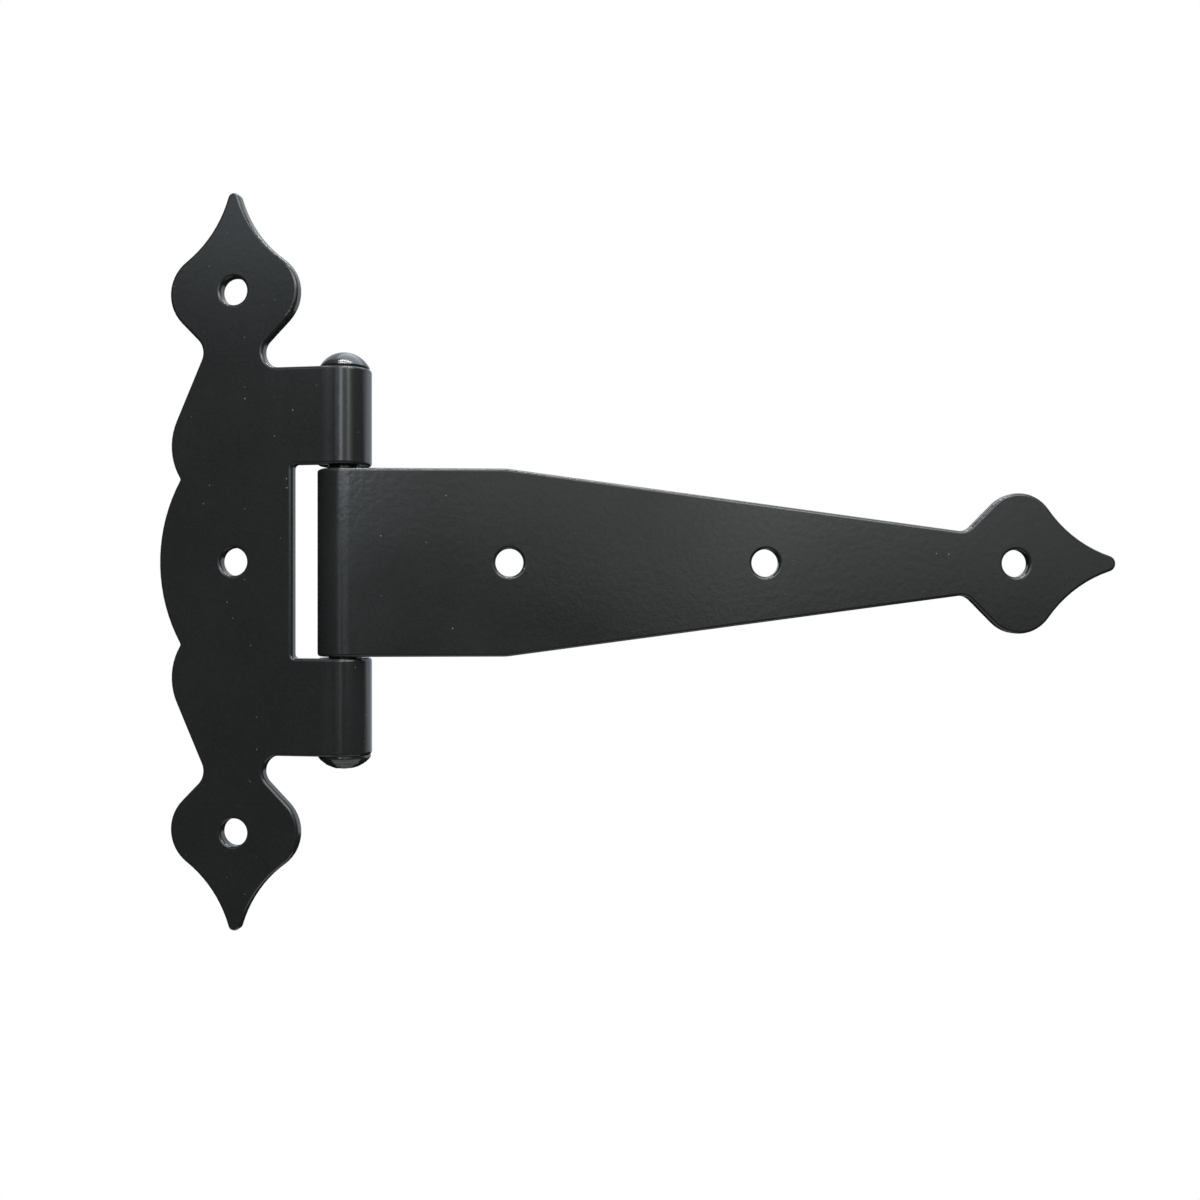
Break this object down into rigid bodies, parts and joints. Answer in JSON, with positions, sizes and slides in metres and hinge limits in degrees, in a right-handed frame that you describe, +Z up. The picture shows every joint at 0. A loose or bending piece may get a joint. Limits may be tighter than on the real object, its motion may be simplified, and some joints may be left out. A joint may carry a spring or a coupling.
{
  "type": "decorative tee hinge",
  "caption": "Black tee hinge with a scalloped frame leaf, a long tapered strap, spear-shaped finials, plain round screw holes and a captive riveted pin.",
  "frame": {"origin": "centre of the frame leaf's middle screw hole, half-way through the sheet", "axes": "+Z up along the pin, towards its domed head; +X from the frame leaf across the pin towards the strap; +Y from the flat side towards the rolled knuckles. The strap is stored as pictured, swung 12 degrees from +X towards +Y"},
  "size_m": [0.1833, 0.0332, 0.1412],
  "materials": {
    "leaf_coat": "satin powder coat",
    "pin_coat": "satin powder coat"
  },
  "bodies": {
    "frame": {"frame_leaf": "leaf_coat", "hinge_pin": "pin_coat"},
    "strap": {"strap_leaf": "leaf_coat"}
  },
  "joints": [
    {"name": "strap_swing", "type": "hinge", "parent": "frame", "child": "strap", "pos_m": [0.0204, 0.0041, 0], "axis": [0, 0, 1], "range_deg": [-130, 177]}
  ]
}
